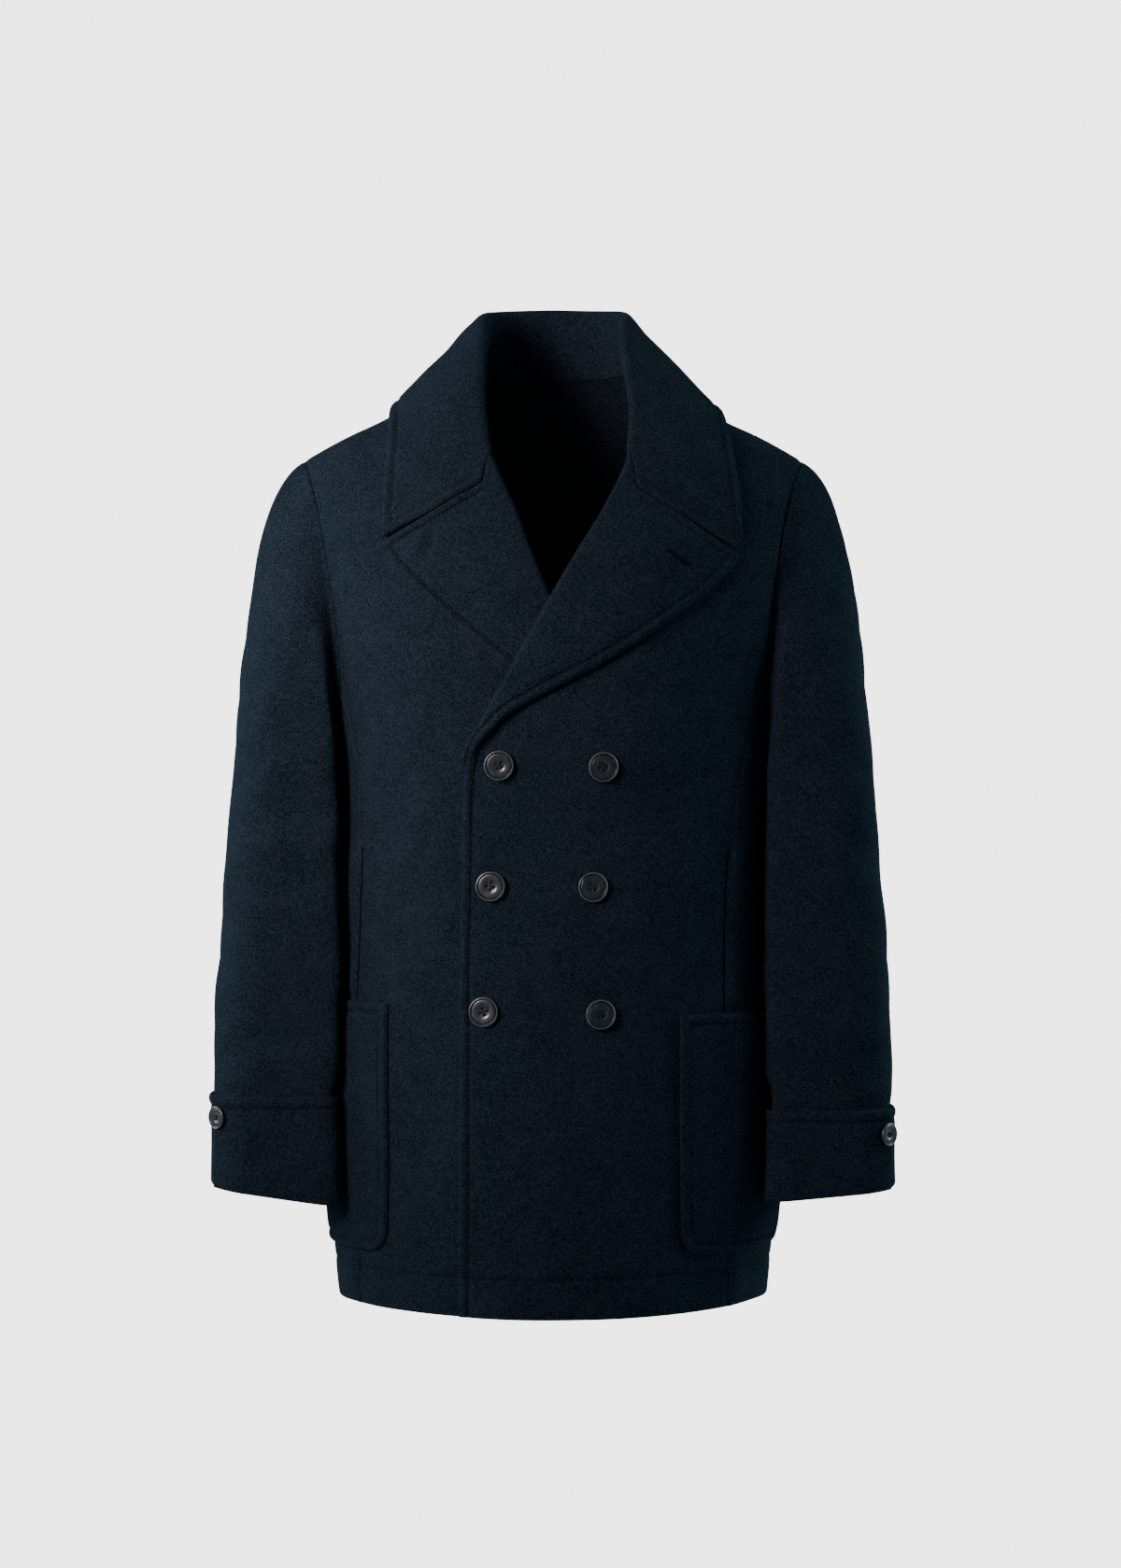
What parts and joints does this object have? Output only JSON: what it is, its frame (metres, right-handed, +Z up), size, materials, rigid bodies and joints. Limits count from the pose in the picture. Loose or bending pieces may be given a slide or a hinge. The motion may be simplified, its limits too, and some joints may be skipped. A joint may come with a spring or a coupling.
{
  "type": "double-breasted pea coat",
  "caption": "Hip-length double-breasted pea coat with wide peaked lapels, a deep turned-down collar, patch pockets and buttoned turned-back cuffs, filled out as worn and hollow.",
  "frame": {"origin": "middle of the neck base, level with the neck ends of the shoulder seams, where the wearer's neck stands", "axes": "+Z up from hem to collar; the front faces -Y; +X is the wearer's left"},
  "size_m": [0.5802, 0.3084, 0.8484],
  "materials": {
    "wool": "dark navy felted wool, matt, with a short nap",
    "button_horn": "dark grey-brown polished horn look, softly glossy"
  },
  "bodies": {
    "root": {"front_left": "wool", "front_right": "wool", "side_left": "wool", "side_right": "wool", "back": "wool", "top_sleeve_left": "wool", "top_sleeve_right": "wool", "under_sleeve_left": "wool", "under_sleeve_right": "wool", "cuff_left": "wool", "cuff_right": "wool", "collar": "wool", "lapel_left": "wool", "lapel_right": "wool", "pocket_left": "wool", "pocket_right": "wool", "welt_left": "wool", "welt_right": "wool", "button_1_left": "button_horn", "button_1_right": "button_horn", "button_2_left": "button_horn", "button_2_right": "button_horn", "button_3_left": "button_horn", "button_3_right": "button_horn", "button_cuff_left": "button_horn", "button_cuff_right": "button_horn"}
  },
  "joints": []
}
